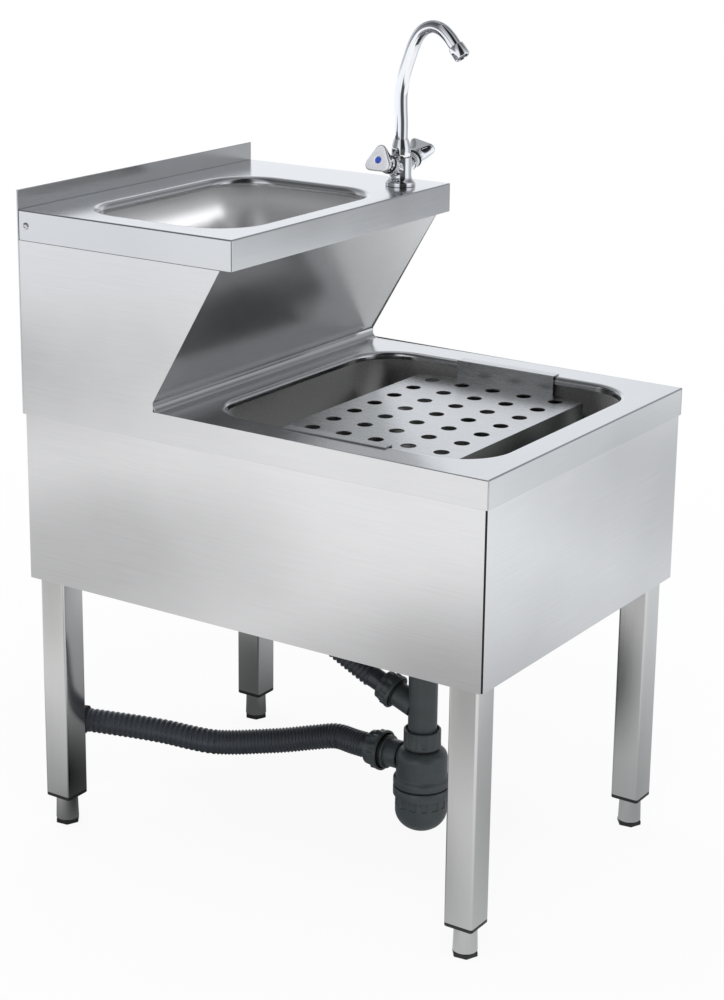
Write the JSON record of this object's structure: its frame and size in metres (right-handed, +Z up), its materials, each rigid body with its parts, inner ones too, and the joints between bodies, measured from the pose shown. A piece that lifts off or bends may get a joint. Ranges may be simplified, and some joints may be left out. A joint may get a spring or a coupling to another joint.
{
  "type": "hand wash and bucket sink unit",
  "caption": "Stainless steel floor unit on adjustable feet: small hand basin with a mixer tap over a lower bucket basin with a lift-out grate, both drained by a bottle trap.",
  "frame": {"origin": "floor level, midway between the unit's left and right sides and its front and back", "axes": "+Z up, +Y towards the wall behind the unit, +X to the right seen from the front"},
  "size_m": [0.5081, 0.7269, 1.0744],
  "materials": {
    "steel": "satin brushed stainless steel sheet",
    "apron_steel": "satin stainless steel sheet, matt",
    "panel_steel": "smooth stainless steel sheet that mirrors softly",
    "bowl_steel": "pressed stainless steel, satin to bright",
    "grate_steel": "perforated stainless steel sheet",
    "leg_steel": "ground stainless steel tube",
    "bright_steel": "bright stainless steel",
    "chrome": "polished chrome plate",
    "brass": "plain brass",
    "black_plastic": "black moulded plastic",
    "grey_plastic": "dark grey moulded plastic with a soft sheen",
    "hose_plastic": "dark grey ribbed plastic hose",
    "rubber": "black rubber",
    "blue_index": "blue plastic button",
    "red_index": "red plastic button"
  },
  "bodies": {
    "sink": {"upper_worktop": "steel", "hand_basin": "bowl_steel", "lower_worktop": "steel", "bucket_basin": "bowl_steel", "left_side_sheet": "steel", "right_side_sheet": "steel", "riser_front_panel": "panel_steel", "riser_back_panel": "steel", "front_apron": "apron_steel", "left_apron": "apron_steel", "right_apron": "apron_steel", "rear_apron": "apron_steel", "lip_screw": "steel", "underframe": "leg_steel", "leg_front_left": "leg_steel", "leg_front_right": "leg_steel", "leg_back_left": "leg_steel", "leg_back_right": "leg_steel", "leg_insert_front_left": "black_plastic", "leg_insert_front_right": "black_plastic", "leg_insert_back_left": "black_plastic", "leg_insert_back_right": "black_plastic", "bucket_waste_flange": "bright_steel", "hand_waste_flange": "bright_steel", "bucket_waste_body": "grey_plastic", "hand_waste_body": "grey_plastic", "tailpipe": "grey_plastic", "trap_inlet_nut": "grey_plastic", "trap_body": "grey_plastic", "trap_cup_seal": "rubber", "trap_outlet_nut": "grey_plastic", "drain_hose": "hose_plastic", "drain_connector": "rubber", "branch_nut": "grey_plastic", "branch_hose": "hose_plastic", "hand_waste_nut": "grey_plastic", "tap_body": "chrome", "tap_fixing_nut": "brass", "tap_inlets": "brass", "spout_nut": "chrome", "cold_valve": "chrome", "hot_valve": "chrome", "cold_handle_seal": "rubber", "hot_handle_seal": "rubber"},
    "grate": {"bucket_grate": "grate_steel"},
    "cup": {"trap_cup": "grey_plastic"},
    "swivel_spout": {"spout": "chrome", "aerator": "chrome"},
    "cold_knob": {"cold_handle": "chrome", "cold_index": "blue_index"},
    "hot_knob": {"hot_handle": "chrome", "hot_index": "red_index"},
    "foot_front_left": {"foot_sleeve_front_left": "leg_steel", "foot_pad_front_left": "black_plastic"},
    "foot_front_right": {"foot_sleeve_front_right": "leg_steel", "foot_pad_front_right": "black_plastic"},
    "foot_back_left": {"foot_sleeve_back_left": "leg_steel", "foot_pad_back_left": "black_plastic"},
    "foot_back_right": {"foot_sleeve_back_right": "leg_steel", "foot_pad_back_right": "black_plastic"}
  },
  "joints": [
    {"name": "grate_lift", "type": "slide", "parent": "sink", "child": "grate", "axis": [0, 0, 1], "range_m": [0, 0.15]},
    {"name": "cup_lowering", "type": "slide", "parent": "sink", "child": "cup", "axis": [0, 0, -1], "range_m": [0, 0.021]},
    {"name": "spout_swivel", "type": "hinge", "parent": "sink", "child": "swivel_spout", "pos_m": [0.193, 0.055, 0.8893], "axis": [0, 0, 1], "continuous": true},
    {"name": "cold_handle_turn", "type": "hinge", "parent": "sink", "child": "cold_knob", "pos_m": [0.1603, 0.055, 0.8832], "axis": [-0.9397, 0, 0.342], "range_deg": [0, 720]},
    {"name": "hot_handle_turn", "type": "hinge", "parent": "sink", "child": "hot_knob", "pos_m": [0.2257, 0.055, 0.8832], "axis": [0.9397, 0, 0.342], "range_deg": [0, 720]},
    {"name": "foot_front_left_height", "type": "slide", "parent": "sink", "child": "foot_front_left", "axis": [0, 0, -1], "range_m": [0, 0.025]},
    {"name": "foot_front_right_height", "type": "slide", "parent": "sink", "child": "foot_front_right", "axis": [0, 0, -1], "range_m": [0, 0.025]},
    {"name": "foot_back_left_height", "type": "slide", "parent": "sink", "child": "foot_back_left", "axis": [0, 0, -1], "range_m": [0, 0.025]},
    {"name": "foot_back_right_height", "type": "slide", "parent": "sink", "child": "foot_back_right", "axis": [0, 0, -1], "range_m": [0, 0.025]}
  ]
}
